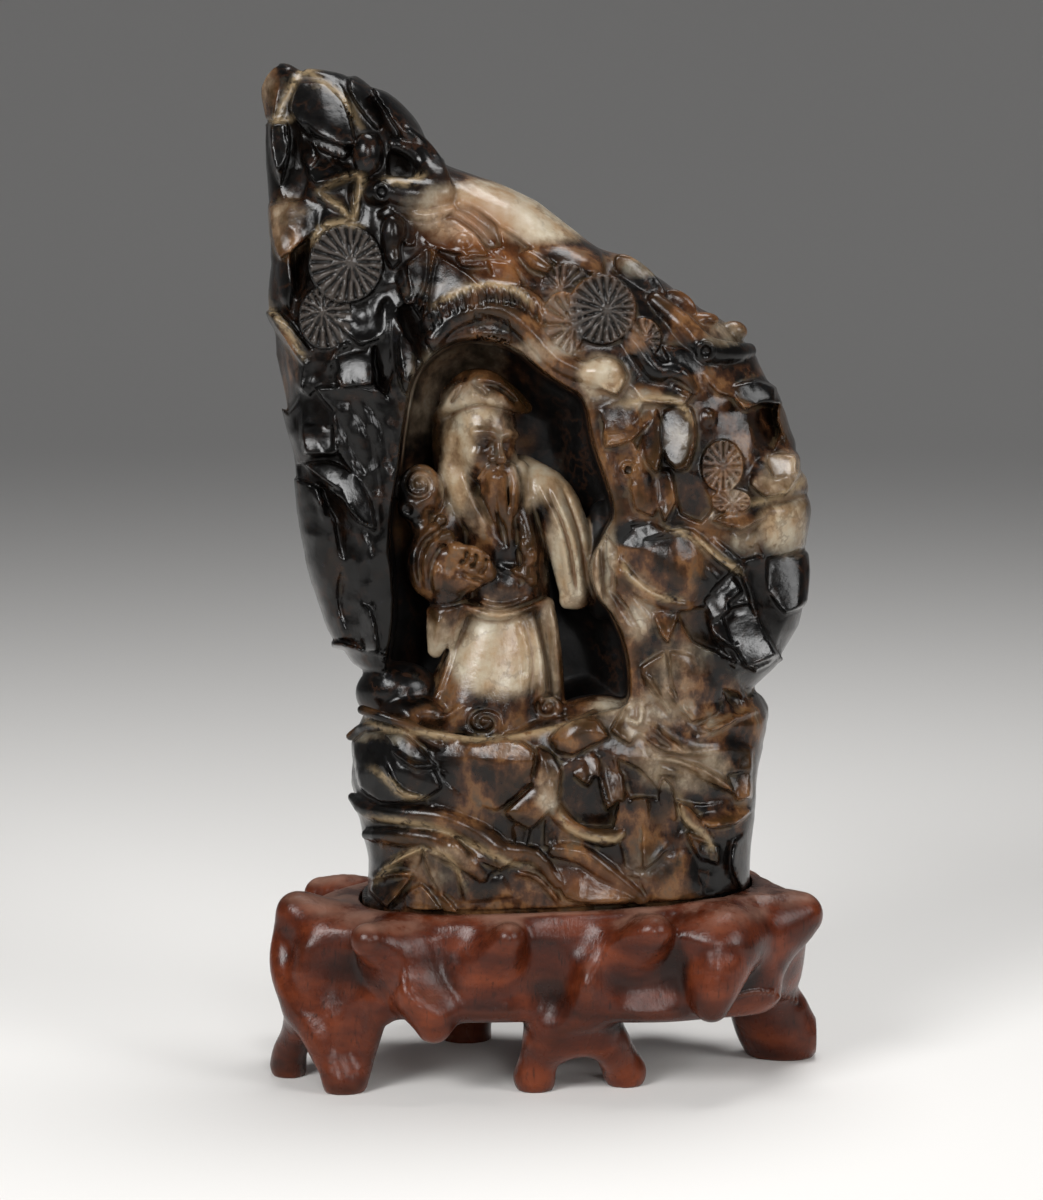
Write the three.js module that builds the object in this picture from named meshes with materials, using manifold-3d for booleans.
// A boulder of black, brown and celadon jade, carved with a robed figure in a grotto under
// a pine, standing in a carved rootwork stand of dark red wood.
// Millimetres, +Z up, the front faces -Y. The origin is on the ground below the middle.
import * as THREE from "three";
import { mergeVertices } from "three/addons/utils/BufferGeometryUtils.js";
import Module from "manifold-3d";

const wasm = await Module();
wasm.setup();

// The boulder.
const BOULDER_HEIGHT = 172;
const BOULDER_WIDTH = 109;
const BOULDER_DEPTH = 50;
const FOOT_WIDTH = 78; // the boulder's foot, where it drops into the stand
const FOOT_DEPTH = 45;
const GROTTO_DEPTH = 27; // from the boulder's front face to the grotto's back wall
const FIGURE_HEIGHT = 71; // from the grotto's floor to the top of the cap
const PINE_DISC_THICKNESS = 3;
const PINE_DISC_FLUTES = 9;

// The stand.
const STAND_HEIGHT = 37; // ground to the middle of the rim
const RIM_RISE = 1.6; // the rim climbs by this much from its middle to its right end
const RIM_WALL = 2.4; // width of the lip round the boulder's foot
const SHOULDER_LEFT = 11.5; // how far the tray swells out beyond the lip
const SHOULDER_RIGHT = 5.5;
const SHOULDER_FRONT = 3.4;
const LEG_HEIGHT = 13; // ground to the tray's underside
const SEAT_DEPTH = 7.5; // how far the boulder's foot drops below the rim
const SEAT_CLEARANCE = 0.5; // around and under the foot
const OVERHANG_CLEARANCE = 0.8; // between the rim and the carving that hangs over it

// The carving is laid out on a drawing of the front, in millimetres, for a boulder of this size.
// u runs to the right and v up from the foot, as seen from slightly above and in front.
const DRAWN = {
  width: 109, height: 172, depth: 50, figure: 71, grotto: 27,
  footWidth: 78, standHeight: 39, legHeight: 14,
};
const DRAWN_TILT = Math.tan(THREE.MathUtils.degToRad(8));
const DRAWN_DISTANCE = 900;
const DRAWN_CENTRE = { u: -4, v: 66 };
const STRETCH = new THREE.Vector3(
  BOULDER_WIDTH / DRAWN.width,
  BOULDER_DEPTH / DRAWN.depth,
  BOULDER_HEIGHT / DRAWN.height,
);
const GIRTH = Math.cbrt(STRETCH.x * STRETCH.y * STRETCH.z);
const FOOT_CENTRE_X = 3 * STRETCH.x;
const SEAT_FLOOR = STAND_HEIGHT - SEAT_DEPTH;
const FOOT_Z = SEAT_FLOOR + SEAT_CLEARANCE;

// The boulder's outline on the drawing: [v, u] from the foot to the tip.
const LEFT_EDGE = [
  [0, -35.5], [10, -35.2], [18, -36.6], [28, -39.2], [36, -39], [44, -35.2], [50, -34.4],
  [54, -39], [60, -43.2], [74, -47.2], [95, -49.4], [100, -51.6], [122, -54.4], [160, -54.6],
  [167, -55.4], [172, -50.4],
];
const RIGHT_EDGE = [
  [0, 41.5], [10, 42.2], [28, 43.6], [36, 45.2], [43, 46.4], [48, 44], [54, 49], [61, 52.4],
  [90, 53.6], [98, 50.6], [108, 46.6], [114, 43.2], [121, 37], [129, 25], [134, 17],
  [137, 9], [145, -1], [149, -9], [152, -17.6], [161, -24.4], [166, -30], [170, -39], [172, -50],
];
// Half thickness of the stone in front of and behind the middle plane: [v, front, back].
const THICKNESS = [
  [0, 22.5, 21.5], [12, 24, 22.5], [38, 26, 24], [48, 23.5, 23.5], [62, 24.5, 24], [92, 25.5, 24],
  [115, 24.5, 22], [130, 21.5, 18.5], [146, 16.5, 14], [160, 12, 10.5], [168, 8, 7.5], [172, 4.5, 4.5],
];
const SECTION_POWER = 2.7; // 2 is an ellipse, and more is squarer
const SIDES = 26; // facets round the boulder, its foot and the tray

// Reads a value off a list of [position, value, ...] by straight lines between its entries.
function readOff(list, position, column = 1) {
  const upper = list.findIndex((row) => row[0] >= position);
  if (upper === 0) return list[0][column];
  if (upper < 0) return list[list.length - 1][column];
  const [low, high] = [list[upper - 1], list[upper]];
  const share = (position - low[0]) / (high[0] - low[0]);
  return THREE.MathUtils.lerp(low[column], high[column], share);
}

// A closed mesh with merged vertices, as a solid that can be joined and cut.
function solidOf(geometry) {
  const bare = geometry.clone();
  bare.deleteAttribute("normal");
  bare.deleteAttribute("uv");
  const merged = mergeVertices(bare, 1e-4);
  return new wasm.Manifold(
    new wasm.Mesh({
      numProp: 3,
      vertProperties: new Float32Array(merged.attributes.position.array),
      triVerts: new Uint32Array(merged.index.array),
    }),
  );
}

// Where many bodies cross they leave edges too short to see. Each is drawn together to a point
// where the surface stays closed and the faces round it hardly turn.
const SHORT_EDGE = 0.8;
const TURN_ALLOWED = { short: 0.7, long: 0.9994 }; // cosine of a face's turn, by the edge's length

function withoutSlivers({ vertProperties, triVerts }) {
  const points = [];
  for (let i = 0; i < vertProperties.length; i += 3) {
    points.push(new THREE.Vector3().fromArray(vertProperties, i));
  }
  const faces = [];
  for (let i = 0; i < triVerts.length; i += 3) faces.push([...triVerts.slice(i, i + 3)]);
  const facesAt = points.map(() => new Set());
  faces.forEach((face, f) => face.forEach((corner) => facesAt[corner].add(f)));

  const neighbours = (corner) => new Set([...facesAt[corner]].flatMap((f) => faces[f]));
  const normalOf = (face) => {
    const [a, b, c] = face.map((corner) => points[corner]);
    return b.clone().sub(a).cross(c.clone().sub(a));
  };
  const THIN = 1e-3; // a face of less area than this has no direction worth keeping
  const leastCosine = (from, to) => Math.min(
    ...[...facesAt[from]].filter((f) => !faces[f].includes(to)).map((f) => {
      const before = normalOf(faces[f]);
      const after = normalOf(faces[f].map((corner) => (corner === from ? to : corner)));
      if (after.length() < THIN) return before.length() < THIN ? 1 : -1;
      return before.length() < THIN ? 1 : before.normalize().dot(after.normalize());
    }),
  );
  const drawTogether = (from, to) => {
    const [near, far] = [neighbours(to), neighbours(from)];
    const shared = [...near].filter((corner) => far.has(corner)).length;
    if (shared !== 4) return false; // the two ends and the two corners beside the edge
    const short = points[from].distanceTo(points[to]) < SHORT_EDGE;
    if (leastCosine(from, to) < (short ? TURN_ALLOWED.short : TURN_ALLOWED.long)) return false;
    for (const f of facesAt[from]) {
      if (faces[f].includes(to)) {
        faces[f].forEach((corner) => corner !== from && facesAt[corner].delete(f));
        faces[f] = null;
      } else {
        faces[f] = faces[f].map((corner) => (corner === from ? to : corner));
        facesAt[to].add(f);
      }
    }
    facesAt[from].clear();
    return true;
  };

  const PASSES = 4;
  for (let pass = 0; pass < PASSES; pass += 1) {
    for (let f = 0; f < faces.length; f += 1) {
      for (let side = 0; side < 3 && faces[f]; side += 1) {
        const [a, b] = [faces[f][side], faces[f][(side + 1) % 3]];
        if (!drawTogether(a, b)) drawTogether(b, a);
      }
    }
  }

  // Corners of two folds that meet by chance are kept a hair apart.
  const HAIR = 0.02;
  const placeOf = (point) => point.toArray().map((length) => Math.round(length / HAIR)).join(" ");
  const taken = new Set();
  const used = points.map((_, corner) => corner).filter((corner) => facesAt[corner].size > 0);
  used.forEach((corner) => {
    const around = [...neighbours(corner)].map((other) => points[other]);
    const total = around.reduce((sum, point) => sum.add(point), new THREE.Vector3());
    const middle = total.divideScalar(around.length);
    while (taken.has(placeOf(points[corner]))) {
      points[corner].add(middle.clone().sub(points[corner]).setLength(2 * HAIR));
    }
    taken.add(placeOf(points[corner]));
  });
  const numbered = new Map(used.map((corner, number) => [corner, number]));
  return {
    corners: used.map((corner) => points[corner]),
    triangles: faces.filter(Boolean).flat().map((corner) => numbered.get(corner)),
  };
}

// A joined solid back as a geometry.
function geometryOf(solid) {
  const { corners, triangles } = withoutSlivers(solid.getMesh());
  const geometry = new THREE.BufferGeometry().setFromPoints(corners);
  geometry.setIndex(triangles);
  geometry.computeVertexNormals();
  return geometry;
}

function joined(solids) {
  return solids.reduce((whole, solid) => whole.add(solid));
}

// Small voids that stay shut between overlapping rocks are stone too.
function withoutVoids(solid) {
  return joined(solid.decompose().filter((shell) => shell.volume() > 0));
}

// A lathe whose rings are each laid along an outline of their own, from a point to a point.
// Each station is a function of the angle round +Z that gives [x, y, z].
function ringStack(stations, segments) {
  const last = stations.length - 1;
  const profile = stations.map((_, j) => new THREE.Vector2(j === 0 || j === last ? 0 : 1, j));
  const geometry = new THREE.LatheGeometry(profile, segments);
  const position = geometry.attributes.position;
  for (let i = 0; i <= segments; i += 1) {
    const angle = (2 * Math.PI * (i % segments)) / segments;
    stations.forEach((station, j) => position.setXYZ(i * stations.length + j, ...station(angle)));
  }
  return geometry;
}

function rounded(value) {
  return Math.sign(value) * Math.abs(value) ** (2 / SECTION_POWER);
}

// The boulder's body without its carving.
function edgesAt(v) {
  return [readOff(LEFT_EDGE, v), readOff(RIGHT_EDGE, v)].map((u) => u * STRETCH.x);
}

// The stone is hewn, so its surface runs in and out round it and up it, as a share of its size.
function cragAt(angle, v) {
  const CRAG = 0.05;
  const plain = THREE.MathUtils.smoothstep(v, 8, 20) * (1 - THREE.MathUtils.smoothstep(v, 150, 168));
  const waves = Math.abs(Math.sin(3 * angle + v / 9)) + Math.abs(Math.sin(5 * angle - v / 6 + 1));
  return 1 + CRAG * plain * (waves / 2 - 0.6);
}

function bodyPoint(angle, v) {
  const [left, right] = edgesAt(v);
  const depth = readOff(THICKNESS, v, Math.sin(angle) < 0 ? 1 : 2) * STRETCH.y;
  const crag = cragAt(angle, v);
  return [
    (left + right) / 2 + ((right - left) / 2) * rounded(Math.cos(angle)) * crag,
    depth * rounded(Math.sin(angle)) * crag,
    FOOT_Z + v * STRETCH.z,
  ];
}

// How far forward the body's front face stands at a place on the drawing.
function frontAt(u, v) {
  const [left, right] = edgesAt(v);
  const across = (u * STRETCH.x - (left + right) / 2) / ((right - left) / 2);
  const share = Math.max(0, 1 - Math.abs(across) ** SECTION_POWER) ** (1 / SECTION_POWER);
  return -readOff(THICKNESS, v) * STRETCH.y * share;
}

// The way that the front face looks there.
function frontNormal(u, v) {
  const [left, right] = edgesAt(v);
  const half = (right - left) / 2;
  const across = THREE.MathUtils.clamp((u * STRETCH.x - (left + right) / 2) / half, -0.98, 0.98);
  const share = (1 - Math.abs(across) ** SECTION_POWER) ** (1 / SECTION_POWER);
  const depth = readOff(THICKNESS, v) * STRETCH.y;
  const steep = SECTION_POWER - 1;
  const sideways = (Math.sign(across) * Math.abs(across) ** steep) / half;
  return new THREE.Vector3(sideways, -(share ** steep) / depth, 0).normalize();
}

// The point that lies at u, v on the drawing, at depth y on the stone.
function drawnAt(u, v, y) {
  const depth = y / STRETCH.y;
  const nearness = (DRAWN_DISTANCE + depth) / DRAWN_DISTANCE;
  return new THREE.Vector3(
    (DRAWN_CENTRE.u + (u - DRAWN_CENTRE.u) * nearness) * STRETCH.x,
    y,
    FOOT_Z + (DRAWN_CENTRE.v + (v - DRAWN_CENTRE.v) * nearness - depth * DRAWN_TILT) * STRETCH.z,
  );
}

// The same, at a height above the body's front face.
function onFront(u, v, lift = 0) {
  let y = frontAt(u, v);
  for (let step = 0; step < 3; step += 1) y = frontAt(u, v - (y / STRETCH.y) * DRAWN_TILT);
  return drawnAt(u, v, y - lift * STRETCH.y);
}

// The foot's outline, which the seat and the lip in the stand follow at a gap.
function footOutline(angle, gap) {
  return [
    FOOT_CENTRE_X + (FOOT_WIDTH / 2 + gap) * rounded(Math.cos(angle)),
    (FOOT_DEPTH / 2 + gap) * rounded(Math.sin(angle)),
  ];
}

function boulderBody() {
  const ROWS = 23;
  const footTop = SEAT_DEPTH / STRETCH.z; // the foot is straight up to the rim
  const tip = bodyPoint(0, DRAWN.height);
  const stations = [
    () => [FOOT_CENTRE_X, 0, FOOT_Z],
    (angle) => [...footOutline(angle, 0), FOOT_Z],
    (angle) => [...footOutline(angle, 0), FOOT_Z + SEAT_DEPTH],
  ];
  for (let row = 1; row < ROWS; row += 1) {
    const v = footTop + ((DRAWN.height - footTop) * row) / ROWS;
    stations.push((angle) => bodyPoint(angle, v));
  }
  stations.push(() => tip);
  return solidOf(ringStack(stations, SIDES));
}

// Simple bodies that the carving is made of.
const HEWN = new THREE.CylinderGeometry(0.6, 1, 1, 6).rotateX(Math.PI); // a low rock, its top to -Y
const CHIP = new THREE.OctahedronGeometry(1, 0);
const BALL = new THREE.SphereGeometry(1, 8, 6).rotateX(Math.PI / 2);

function posed(geometry, at, size, quaternion) {
  const matrix = new THREE.Matrix4().compose(at, quaternion, new THREE.Vector3(...size));
  return solidOf(geometry.clone().applyMatrix4(matrix));
}

// Turned in the plane of the drawing, clockwise as the viewer sees it, and then leaned over
// until what looked to -Y looks along the normal.
function faced(geometry, at, size, normal = [0, -1, 0], degrees = 0) {
  const upright = new THREE.Vector3(0, 1, 0);
  const spin = new THREE.Quaternion().setFromAxisAngle(upright, THREE.MathUtils.degToRad(degrees));
  const direction = new THREE.Vector3(...normal).normalize();
  const lean = new THREE.Quaternion().setFromUnitVectors(new THREE.Vector3(0, -1, 0), direction);
  return posed(geometry, at, size, lean.multiply(spin));
}

// A round limb through points, drawn in or out from one radius to the next.
function limb(points, radii, steps = 4, sides = 6) {
  const THREAD = 0.01;
  const path = new THREE.CatmullRomCurve3(points);
  const section = new THREE.Shape(
    new THREE.EllipseCurve(0, 0, THREAD, THREAD).getPoints(sides).slice(0, sides),
  );
  const geometry = new THREE.ExtrudeGeometry(section, { steps, extrudePath: path, bevelEnabled: false });
  const stops = path.getSpacedPoints(steps);
  const girths = radii.map((radius, k) => [k / (radii.length - 1), radius]);
  const position = geometry.attributes.position;
  const point = new THREE.Vector3();
  for (let i = 0; i < position.count; i += 1) {
    point.fromBufferAttribute(position, i);
    const distances = stops.map((stop) => stop.distanceTo(point));
    const near = distances.indexOf(Math.min(...distances));
    point.sub(stops[near]).multiplyScalar(readOff(girths, near / steps) / THREAD).add(stops[near]);
    position.setXYZ(i, point.x, point.y, point.z);
  }
  return solidOf(geometry);
}

// The grotto: a pocket whose mouth is drawn on the front and whose walls close in towards the back.
const GROTTO_MOUTH = [
  [-13, 36], [3, 41], [12, 43], [17.5, 44], [17.4, 57], [13.8, 63.5], [9.8, 66], [9.8, 77.5],
  [15.2, 81.5], [12.8, 89.5], [9.8, 99.5], [7.8, 108.5], [3.8, 111], [-3.2, 116], [-8.2, 121],
  [-12.2, 122], [-18.2, 119], [-23.2, 116], [-28.2, 112.5], [-28.6, 92.5], [-30.6, 79.5],
  [-30.2, 65.5], [-32.2, 53.5], [-33.6, 45], [-31, 41.5],
];
const GROTTO_WALL = -DRAWN.depth / 2 + DRAWN.grotto; // where the figure was drawn against
const grottoBack = -BOULDER_DEPTH / 2 + GROTTO_DEPTH;

function grotto() {
  const CENTRE = [-8, 80];
  const FRONT = -BOULDER_DEPTH * 0.9;
  // Each ring is the mouth drawn in towards the centre: [depth share, share of the mouth].
  const RINGS = [[1, 0.82], [0.8, 0.97], [0, 1.02]];
  const mouth = new THREE.CatmullRomCurve3(
    GROTTO_MOUTH.map(([u, v]) => new THREE.Vector3(u, 0, v)), true, "catmullrom", 0.2,
  );
  const mouthY = frontAt(...CENTRE);
  const ring = (depth, share) => (angle) => {
    const point = mouth.getPoint(angle / (2 * Math.PI));
    const u = CENTRE[0] + (point.x - CENTRE[0]) * share;
    const v = CENTRE[1] + (point.z - CENTRE[1]) * share;
    const at = drawnAt(u, v, mouthY);
    return [at.x, THREE.MathUtils.lerp(FRONT, grottoBack, depth), at.z];
  };
  const middle = drawnAt(...CENTRE, mouthY);
  const stations = RINGS.map(([depth, share]) => ring(depth, share));
  stations.unshift(() => [middle.x, grottoBack, middle.z]);
  stations.push(() => [middle.x, FRONT, middle.z]);
  return solidOf(ringStack(stations, GROTTO_MOUTH.length));
}

// The figure stands on the grotto's floor with its back to the wall.
const FIGURE_FLOOR = { u: -9.5, v: 41 };
const FIGURE_SCALE = FIGURE_HEIGHT / DRAWN.figure;

function inGrotto(u, v, y) {
  return drawnAt(
    FIGURE_FLOOR.u + (u - FIGURE_FLOOR.u) * FIGURE_SCALE,
    FIGURE_FLOOR.v + (v - FIGURE_FLOOR.v) * FIGURE_SCALE,
    (y - GROTTO_WALL) * FIGURE_SCALE * STRETCH.y + grottoBack,
  );
}

function grown(radii) {
  return radii.map((radius) => radius * FIGURE_SCALE * GIRTH);
}

// The robe from the hem to the shoulders: [v, middle u, half width, middle y, half depth].
const ROBE = [
  [40.5, -9.6, 14, -6.5, 12], [44, -9.5, 13.4, -6.5, 11.5], [54, -8.9, 11.8, -6, 10],
  [63, -7.2, 9.2, -6, 8.6], [70, -7, 8.6, -6.2, 8.4], [80, -7, 9.8, -5.6, 8],
  [88, -8.4, 10.2, -5, 7], [93, -9.4, 6.6, -4.6, 5.6],
];
const ROBE_FOLDS = 8;
const FOLD_DEPTH = 0.045; // as a share of the robe's half width, strongest at the hem

function robe() {
  const SIDES = 2 * ROBE_FOLDS;
  const ring = ([v, u, halfWidth, y, halfDepth], j) => (angle) => {
    const fold = 1 + (Math.cos(angle * ROBE_FOLDS) > 0 ? 1 : -1) * FOLD_DEPTH * (1 - j / ROBE.length);
    const at = inGrotto(u + halfWidth * Math.cos(angle) * fold, v, y + halfDepth * Math.sin(angle) * fold);
    return at.toArray();
  };
  const end = ([v, u, , y]) => () => inGrotto(u, v, y).toArray();
  return solidOf(ringStack([end(ROBE[0]), ...ROBE.map(ring), end(ROBE[ROBE.length - 1])], SIDES));
}

// Limbs and hanging cloth: points [u, v, y] and the radius at each.
const FIGURE_LIMBS = {
  rightSleeve: [[[-3.8, 91, -6], [3, 87, -8.5], [6.4, 77, -10.5], [7, 66, -10.5]], [4.2, 4.6, 4.4, 3.6]],
  leftArm: [[[-16, 89, -6], [-20, 81, -9], [-21.2, 73, -12]], [4.4, 5, 5.4]],
  leftForearm: [[[-21.4, 71, -13], [-17.6, 70.5, -15], [-13, 71.5, -16.4]], [5, 4, 3]],
  hangingSleeve: [[[-18, 67, -13], [-19.6, 60, -13.5], [-20.8, 54.4, -13]], [4.6, 3.6, 1.2]],
  hoodDrape: [[[-18.6, 99, -7], [-17, 90, -11], [-12.6, 81, -13.6], [-8.8, 76, -13.6]], [2, 2.5, 2.2, 1]],
  collar: [[[-4, 94, -10], [-4.6, 84, -13], [-7, 75, -14]], [2.2, 1.8, 1]],
  beard: [[[-10, 92.6, -15.4], [-8.6, 84, -16.4], [-6.8, 75.4, -15]], [3.4, 2.4, 0.6]],
  sash: [[[-15, 66.5, -12], [-7, 63.6, -15.4], [1, 66, -11.5]], [1.2, 1.4, 1.2]],
  capBrim: [
    [[-21, 102.4, -7.4], [-15.5, 103.6, -15], [-8.5, 103.8, -15.6], [-3, 103.8, -9]],
    [0.8, 1.7, 1.7, 0.8],
  ],
  capRidge: [
    [[-18.6, 105, -8.6], [-15.4, 109, -9.8], [-10.8, 109.2, -11.4], [-6, 106.8, -11], [-2.4, 104.4, -8.8]],
    [1.4, 1.9, 2.1, 1.7, 1],
  ],
  lappet: [[[-20.6, 102, -7.6], [-19.6, 96.6, -8.6], [-18.2, 90.6, -9.6]], [1.3, 2, 1.9]],
  fungusStem: [[[-24.4, 82, -13.6], [-21, 77, -15.6], [-14, 72, -17]], [2.2, 2, 1.8]],
};

// Rounded masses: [u, v, y], radii and turn in degrees.
const FIGURE_MASSES = {
  head: [[-12.2, 97.4, -9.6], [6.9, 6.8, 8.8], 4],
  cap: [[-13, 105.6, -8.4], [7.9, 7.6, 5.6], 6],
  belly: [[-6.4, 68, -11], [7, 5.6, 5.2], 0],
  hand: [[-13, 71.8, -16.8], [3.5, 2.6, 2.9], 0],
  fungusHead: [[-24.4, 87.4, -12.6], [4.7, 4.2, 5.8], 0],
  fungusSpiral: [[-24, 90, -15.6], [2.5, 2, 2.5], 0],
  hemScrollLeft: [[-11.2, 42.6, -17], [4.6, 2.4, 2.8], 0],
  hemScrollRight: [[1.2, 44.6, -14.4], [3.2, 2.4, 2.8], 0],
};

function figure() {
  const limbs = Object.values(FIGURE_LIMBS).map(([points, radii]) =>
    limb(points.map((point) => inGrotto(...point)), grown(radii)));
  const masses = Object.values(FIGURE_MASSES).map(([at, radii, turn]) =>
    faced(BALL, inGrotto(...at), grown(radii), undefined, turn));
  const nose = faced(CHIP, inGrotto(-9.9, 96.4, -16.1), grown([1.1, 1.5, 2.4]), undefined, 4);
  return joined([robe(), ...limbs, ...masses, nose]);
}

// Clusters of pine needles: shallow fluted discs that face out of the stone.
// [u, v, radius, height above the stone, normal]
const PINE_DISCS = [
  [-38.8, 132.7, 7.2, 2.2, [0.05, -1, 0.1]],
  [-42.6, 122.5, 6, 0.8, [-0.25, -1, -0.1]],
  [12.8, 124.1, 6.8, 2.8, [0.25, -1, 0.35]],
  [5.8, 122.5, 7, 1, [-0.35, -1, 0.1]],
  [19.8, 118.5, 4.2, 1.6, [0.3, -1, 0.2]],
  [36.8, 92.1, 5, 1.8, [0.2, -1, 0.1]],
  [39.2, 87.5, 4.8, 0.6, [0.3, -1, -0.1]],
  [-34.6, 164.3, 6.2, 0, [0.75, -0.4, 0.5]],
  [-27.6, 161.3, 6.8, 0, [0.75, -0.4, 0.5]],
  [20.2, 129.5, 6.6, 0, [0.5, -0.5, 0.65]],
  [28.4, 124.9, 4.6, 0, [0.5, -0.5, 0.65]],
];
const DISC_PROFILE = [[0, -0.3], [0.74, -0.5], [1, 0.1], [0, 0.8]]; // [radius, height], its face below
const FLUTE_PRESS = 0.3; // how far every second spoke is pressed in, as a share of the thickness

function pineDisc([u, v, drawnRadius, lift, normal]) {
  const outline = DISC_PROFILE.map(([r, h]) => new THREE.Vector2(r, h));
  const disc = new THREE.LatheGeometry(outline, 2 * PINE_DISC_FLUTES);
  const CREST = 1;
  for (let spoke = 1; spoke < 2 * PINE_DISC_FLUTES; spoke += 2) {
    const i = spoke * DISC_PROFILE.length + CREST;
    disc.attributes.position.setY(i, DISC_PROFILE[CREST][1] + FLUTE_PRESS);
  }
  const radius = drawnRadius * GIRTH;
  return faced(disc, onFront(u, v, lift), [radius, PINE_DISC_THICKNESS * GIRTH, radius], normal);
}

// Boughs, roots and ledges that run over the stone: points [u, v], height above it and radii.
const BOUGHS = {
  topTrunk: [[[-32, 146.6], [-26, 146], [-20.8, 146.4]], 1.6, [3, 2.8, 2.8]],
  topLoop: [[[-20.8, 146.4], [-23.6, 152], [-27, 156], [-30, 155.5]], 1.2, [2.6, 2.2, 2]],
  needleArch: [[[-23.2, 120.5], [-18.2, 124.5], [-10.2, 126.5], [-2.2, 125], [1.5, 121.5]], 1.4, [2, 2.3, 2]],
  archRim: [
    [[-20.2, 118.5], [-14.2, 122.5], [-8.2, 123.1], [-3.2, 118.5], [2.8, 113.1], [9.8, 109.9], [14.2, 111.1]],
    1.2, [2, 2.3, 2.4, 2.4, 2.2],
  ],
  hook: [[[14.2, 117.5], [18.8, 113.1], [21.8, 109.9], [25.4, 111.1], [28.2, 108.5]], 1, [1.4, 1.4, 1.2]],
  rightTrunk: [[[22.8, 125.5], [27.8, 120.5], [32.8, 115.5], [38.8, 115.1], [43, 115.1]], 1.2, [3, 3.2, 3.2]],
  ledgeLine: [
    [[14.8, 81.5], [19.8, 81.1], [24.8, 78.5], [29.8, 79.5], [34.8, 75.5], [39.8, 71.9]],
    0.6, [1.2],
  ],
  crescent: [[[14.2, 76.5], [16.8, 70.5], [22.8, 65.9], [29.8, 64.5]], 0.9, [1.3, 1.5, 1]],
  waveBand: [
    [[-39, 25.5], [-34.2, 22.5], [-26.2, 21.5], [-17.2, 19.5], [-8.2, 15.5], [0.8, 9.5], [3.8, 7.5]],
    0.8, [2.2, 2.3, 2.3, 1.8],
  ],
  floorRim: [
    [
      [-37, 39.5], [-34, 42.5], [-28.2, 41.1], [-20.2, 38.5],
      [-8.2, 37.1], [3.8, 38.9], [11.8, 43.1], [17.8, 43.1],
    ],
    0.9, [2, 2, 2],
  ],
  lowRidge: [[[3.8, 16.5], [11.8, 14.5], [19.8, 9.5], [24, 5.5]], 0.8, [2, 2, 1.6]],
  oval: [[[3.8, 27.5], [4.2, 22.5], [7.8, 18.5], [13.8, 16.5], [16.8, 17.5]], 0.7, [1.2]],
};

function bough([points, lift, radii]) {
  const STEPS = 6;
  const girths = radii.length > 1 ? radii : [radii[0], radii[0]];
  return limb(points.map(([u, v]) => onFront(u, v, lift)), girths.map((r) => r * GIRTH), STEPS, 5);
}

// Chiselled rocks on the front: [u, v, half width, half height, turn, height above the stone].
const ROCKS = [
  [-42.2, 163.5, 7, 8.4, 25, 1.2], [-51, 155, 2, 6, -5, 1], [-42.2, 154, 5.6, 4, 30, 1.2],
  [-48.6, 140.5, 5.4, 5, 40, 1], [-48.8, 130, 2, 6.4, 0, 1], [-48, 118.5, 6, 2.4, 42, 1.4],
  [-37, 113.5, 3, 5.4, 5, 1.2], [-29.6, 116, 2.6, 8.4, -18, 1.8], [-41.6, 101.5, 5.4, 6.6, 0, 1.4],
  [-34.6, 101.5, 4.8, 10, -12, 1.4], [-38, 87, 4, 9.4, -32, 1.2], [-43.6, 73, 4, 12, 10, 0.8],
  [-35.2, 66, 4, 11, 5, 1], [-24, 130, 5, 6.4, 30, 1.6], [-17.2, 131, 5.4, 7.4, -40, 1.8],
  [-8.6, 130.6, 6, 4, -15, 1.2], [13.6, 112.8, 4.6, 3.8, -20, 1.6], [19.8, 101.5, 4.6, 8.6, 12, 1.8],
  [26.8, 99.5, 3.8, 7.6, -4, 2.2], [21.8, 87.5, 4.4, 5.4, -20, 2], [42.8, 106.5, 5, 4, -25, 2],
  [48.6, 101.5, 2.6, 5, -25, 1.6], [46.8, 92.5, 4.6, 4, 10, 1.6], [50, 83.5, 3.4, 7, 0, 1.2],
  [41.8, 81.5, 6, 3, -12, 1.2], [22.8, 72.5, 7, 7, -30, 1.8], [35.8, 67.5, 5, 8.4, -35, 1.6],
  [47.8, 69.5, 5, 7, -12, 1.8], [41.8, 57.5, 6.6, 7.6, -40, 1.6], [25.4, 59.5, 2.6, 4.4, 0, 1.6],
  [29.8, 51.5, 9.6, 7, -20, 1.4], [31.8, 39.5, 11.4, 6, 15, 1.4], [35.8, 27.5, 7, 5, -25, 1.4],
  [44.8, 44, 2.8, 5.6, -5, 1.2], [-20.2, 29.5, 11.4, 7, 8, 1.8], [-33.2, 30.5, 5.6, 7, -10, 1.4],
  [-1.2, 26.5, 4, 9, 5, 1.4], [9.8, 37.5, 5.8, 5, -5, 2], [11.8, 25.5, 7.4, 8.4, -10, 1.6],
  [21.8, 11.5, 8, 5.6, -25, 1.4], [11.8, 8.5, 7, 4, -30, 1.2], [-28.2, 9.5, 6, 5.4, 12, 1.6],
  [-20.2, 8.5, 5.6, 4.6, -18, 1.6], [-7, 9, 6, 4, -24, 1.2], [37.8, 11.5, 4, 6, 5, 1.2],
];

function rock([u, v, halfWidth, halfHeight, turn, lift], index) {
  const THICK = 6;
  const LEAN = 0.34;
  const SPREAD = 1.4; // the slopes of one rock run into the next
  const INSET = 0.95; // and stay inside the outline
  const normal = frontNormal(u, v);
  normal.x += LEAN * Math.sin(2.4 * index);
  normal.z += LEAN * Math.cos(3.7 * index);
  const size = [halfWidth * SPREAD, THICK, halfHeight * SPREAD].map((length) => length * GIRTH);
  return faced(HEWN, onFront(u * INSET, v, lift - THICK / 3), size, normal.toArray(), turn);
}

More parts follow.
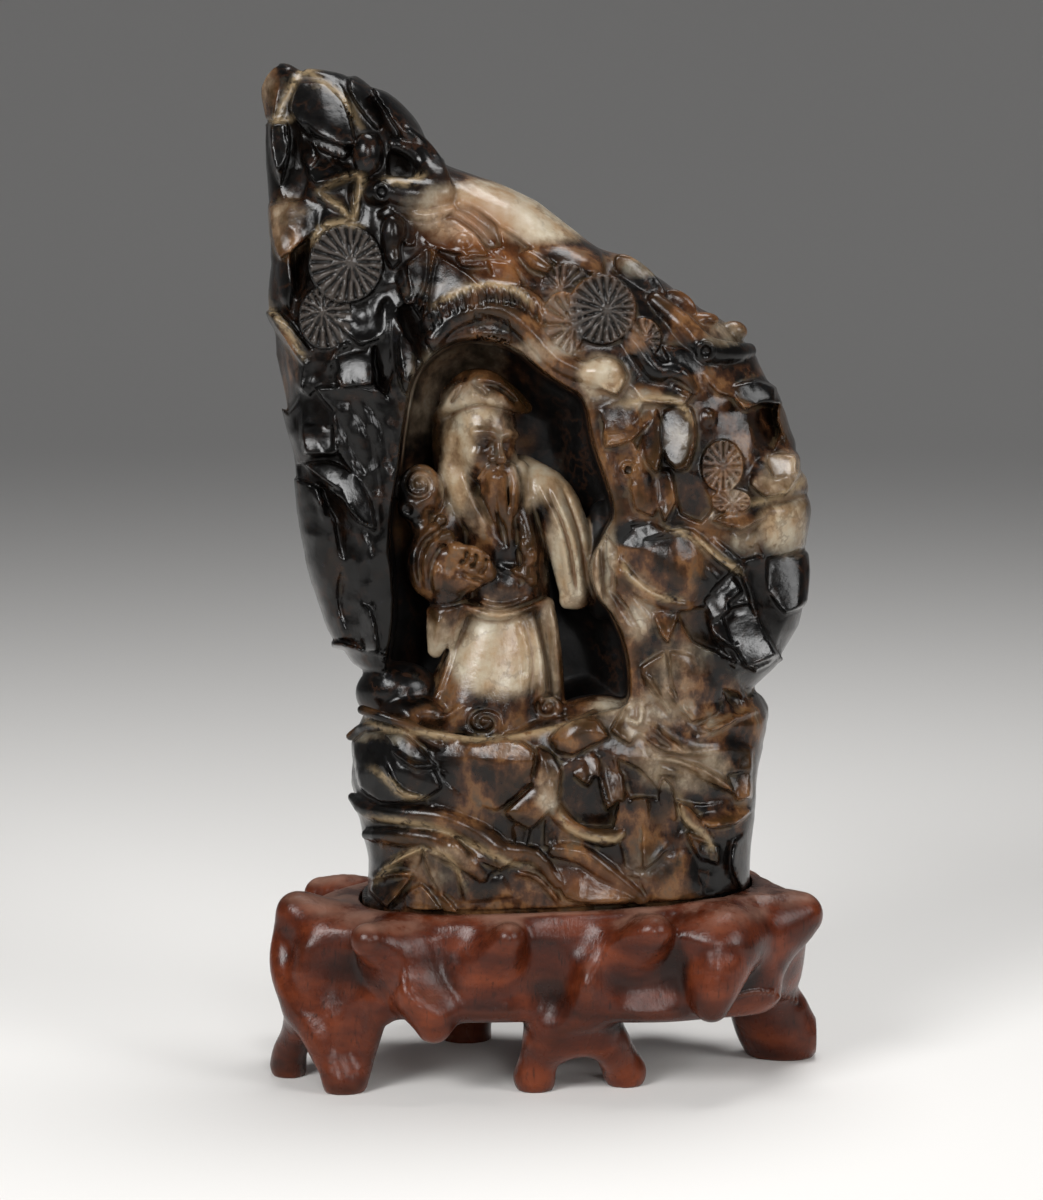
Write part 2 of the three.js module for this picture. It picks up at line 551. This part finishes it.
// The back and the ends carry broad plain facets, row above row. They grow smaller upwards.
function backRock(degrees, v, across, upright) {
  const THICK = 5;
  const SUNK = 0.94;
  const TURN = 24; // degrees that one may lean over
  const angle = THREE.MathUtils.degToRad(degrees);
  const [x, y, z] = bodyPoint(angle, v);
  const normal = [Math.cos(angle) * 0.5, Math.sin(angle), 0];
  const size = [across, THICK, upright].map((length) => length * GIRTH);
  const at = new THREE.Vector3(x * SUNK, y * SUNK, z);
  return faced(HEWN, at, size, normal, TURN * Math.sin(3 * degrees + v));
}

function backRocks() {
  const ROWS = { count: 6, first: 16, step: 26, unevenness: 4 };
  const ROUND = { first: 22, stagger: 18, step: 42, last: 165, firstAtTop: 75 }; // degrees
  const LARGEST = { across: 14.4, upright: 16 };
  const rocks = [];
  for (let row = 0; row < ROWS.count; row += 1) {
    const v = ROWS.first + row * ROWS.step;
    const atTop = row >= ROWS.count - 2; // the ridge at the top is bare on its right
    const first = atTop ? ROUND.firstAtTop : ROUND.first + ROUND.stagger * (row % 2);
    for (let degrees = first; degrees <= ROUND.last; degrees += ROUND.step) {
      const height = v + ROWS.unevenness * Math.sin(degrees + row);
      rocks.push(backRock(degrees, height, LARGEST.across - row, LARGEST.upright - 1.4 * row));
    }
  }
  return rocks;
}

// Where the rim of the stand stands, from its low left to its high right.
function rimAt(x) {
  return STAND_HEIGHT + (RIM_RISE * (x - FOOT_CENTRE_X)) / (FOOT_WIDTH / 2);
}

// A wedge of space above the rim, so that no carving touches the stand.
function aboveRim() {
  const REACH = BOULDER_WIDTH;
  const top = FOOT_Z + 2 * BOULDER_HEIGHT;
  const side = new THREE.Shape();
  side.moveTo(-REACH, rimAt(-REACH) + OVERHANG_CLEARANCE);
  side.lineTo(REACH, rimAt(REACH) + OVERHANG_CLEARANCE);
  side.lineTo(REACH, top);
  side.lineTo(-REACH, top);
  const wedge = new THREE.ExtrudeGeometry(side, { depth: 2 * REACH, bevelEnabled: false });
  return solidOf(wedge.rotateX(Math.PI / 2).translate(0, REACH, 0));
}

// A straight column on the foot's outline.
function footColumn(gap, bottom, top) {
  const ring = (z) => (angle) => [...footOutline(angle, gap), z];
  const end = (z) => () => [FOOT_CENTRE_X, 0, z];
  return solidOf(ringStack([end(bottom), ring(bottom), ring(top), end(top)], SIDES));
}

function boulder() {
  const carving = [
    figure(),
    ...Object.values(BOUGHS).map((row) => bough(row)),
    ...PINE_DISCS.map(pineDisc),
    ...ROCKS.map(rock),
    ...backRocks(),
  ];
  const carved = withoutVoids(boulderBody().subtract(grotto()).add(joined(carving)));
  const rimTop = STAND_HEIGHT + RIM_RISE + OVERHANG_CLEARANCE;
  return carved.intersect(aboveRim().add(footColumn(SEAT_CLEARANCE / 5, FOOT_Z, rimTop)));
}

// The stand is laid out for a foot and a height of the drawn size, and follows both.
const STAND_ACROSS = FOOT_WIDTH / DRAWN.footWidth;
const TRAY_POWER = 0.86; // below 1 the tray's corners fill out
const ROOT_WAVES = 9; // the tray swells where roots grow into it
const ROOT_SWELL = 0.3;

// A place on the tray: degrees round +Z from the right end, and the share of the way out
// from the lip to the shoulder.
function trayOutline(angle, out) {
  const [x, y] = footOutline(angle, SEAT_CLEARANCE + RIM_WALL);
  const shoulder = Math.cos(angle) < 0 ? SHOULDER_LEFT : SHOULDER_RIGHT;
  const cornered = (value) => Math.sign(value) * Math.abs(value) ** TRAY_POWER;
  const swell = out * (1 + ROOT_SWELL * Math.sin(ROOT_WAVES * angle));
  return [
    x + swell * shoulder * cornered(Math.cos(angle)),
    y + swell * SHOULDER_FRONT * cornered(Math.sin(angle)),
  ];
}

// A drawn height on the stand, kept below the rim and above or below the tray's underside.
function standZ(height) {
  const { legHeight, standHeight } = DRAWN;
  if (height <= legHeight) return (height * LEG_HEIGHT) / legHeight;
  const share = (height - legHeight) / (standHeight - legHeight);
  return LEG_HEIGHT + share * (STAND_HEIGHT - LEG_HEIGHT);
}

function tray() {
  // [share out to the shoulder, drawn height] from the underside up to the lip.
  const PROFILE = [[-0.9, 14], [0.55, 15], [0.9, 19], [1, 25], [0.9, 30.5], [0.62, 34], [0.3, 36]];
  const stations = PROFILE.map(([out, height]) => (angle) => [...trayOutline(angle, out), standZ(height)]);
  stations.unshift(() => [FOOT_CENTRE_X, 0, standZ(14.5)]);
  const lip = (gap, below) => (angle) => {
    const [x, y] = footOutline(angle, gap);
    return [x, y, rimAt(x) - below];
  };
  stations.push(lip(SEAT_CLEARANCE + RIM_WALL, 1));
  stations.push(lip(SEAT_CLEARANCE + RIM_WALL * 0.7, 0));
  stations.push(() => [FOOT_CENTRE_X, 0, rimAt(FOOT_CENTRE_X)]);
  return solidOf(ringStack(stations, SIDES));
}

// A point on the stand: degrees round from the right end, share out, drawn height.
function onTray(degrees, out, height) {
  return new THREE.Vector3(...trayOutline(THREE.MathUtils.degToRad(degrees), out), standZ(height));
}

// Roots that swell out of the tray: points [degrees, share out, drawn height], and radii.
// The feet run into the ground and are cut off flat there.
const ROOTS = {
  frontLeftLeg: [[[200, 0.6, 32], [207, 0.75, 22], [214, 0.6, 12], [216, 0.7, 4]], [6.4, 7.6, 6.8, 5.4]],
  leftLeg: [[[190, -0.2, 20], [189, 0.6, 11], [189, 1.4, 3.2]], [8, 6, 4.8]],
  centreLeg: [[[293, 0.3, 33], [281, 0.7, 25], [271, -0.8, 13.5], [263, -2.6, 3.4]], [4, 6.4, 6, 4.8]],
  centreFork: [[[274, -1.4, 19], [285, -2, 10], [293, -2.5, 3.6]], [8, 5.4, 4.4]],
  rightLeg: [[[24, -0.4, 22], [22, 0.2, 12], [18, 0.9, 5]], [10, 9, 7.4]],
  backLeg: [[[104, 0, 22], [107, 0.1, 12], [108, 0.3, 4.5]], [9, 7, 5.8]],
  frontDrip: [[[243, -0.4, 28], [242, 0.2, 21], [241, 0.5, 17.6]], [9, 8.4, 5.6]],
  rightDrip: [[[314, 0.2, 29], [312, 0.8, 23], [311, 1, 19.6]], [7, 4.6, 2.8]],
  backDrip: [[[66, -0.2, 28], [66, 0.3, 21], [67, 0.5, 17]], [9, 7.4, 4.8]],
  leftKnob: [[[200, 0.1, 31], [194, 0.7, 33], [191, 1, 33.6]], [7, 6, 4.8]],
  rightKnob: [[[336, 0, 32], [342, 1, 34], [345, 1.7, 34.4]], [6.8, 5.2, 4.4]],
  frontKnobLeft: [[[227, 0.2, 29], [228, 1.1, 31.6], [228, 1.7, 31.8]], [6.4, 5, 3.9]],
  frontKnobMiddle: [[[255, 0.2, 30], [257, 1, 32], [258, 1.5, 32.2]], [5.6, 4.4, 3.3]],
  frontKnobRight: [[[297, 0.2, 32], [296, 1, 33.8], [296, 1.5, 34]], [5.6, 4.4, 3.5]],
  backKnobLeft: [[[132, 0.2, 29], [131, 1.1, 31.6], [131, 1.7, 31.8]], [6.4, 5, 3.9]],
  backKnobRight: [[[70, 0.2, 31], [70, 1, 33], [70, 1.5, 33.2]], [5.6, 4.4, 3.5]],
};

function root([points, radii]) {
  const STEPS = 4;
  const SIDES_ROUND = 7;
  const BULB = 1.04; // the round end, as a share of the last radius
  const path = points.map((point) => onTray(...point));
  const thick = radii.map((radius) => radius * STAND_ACROSS);
  const bulb = faced(BALL, path[path.length - 1], Array(3).fill(thick[thick.length - 1] * BULB));
  return limb(path, thick, STEPS, SIDES_ROUND).add(bulb);
}

function below(z) {
  const REACH = 2 * BOULDER_WIDTH;
  return solidOf(new THREE.BoxGeometry(REACH, REACH, REACH).translate(0, 0, z - REACH / 2));
}

function stand() {
  const seat = footColumn(SEAT_CLEARANCE, SEAT_FLOOR, STAND_HEIGHT + BOULDER_HEIGHT);
  const rootwork = joined([tray(), ...Object.values(ROOTS).map(root)]);
  return withoutVoids(rootwork.subtract(below(0)).subtract(seat));
}

const jade = new THREE.MeshStandardMaterial({ color: 0x4b3a2a, roughness: 0.3, metalness: 0 });
const rosewood = new THREE.MeshStandardMaterial({ color: 0x6b2e1c, roughness: 0.35, metalness: 0 });

function piece(name, solid, material) {
  const mesh = new THREE.Mesh(geometryOf(solid), material);
  mesh.name = name;
  return mesh;
}

const group = new THREE.Group();
group.add(piece("jade_boulder", boulder(), jade));
group.add(piece("wooden_stand", stand(), rosewood));

export default group;
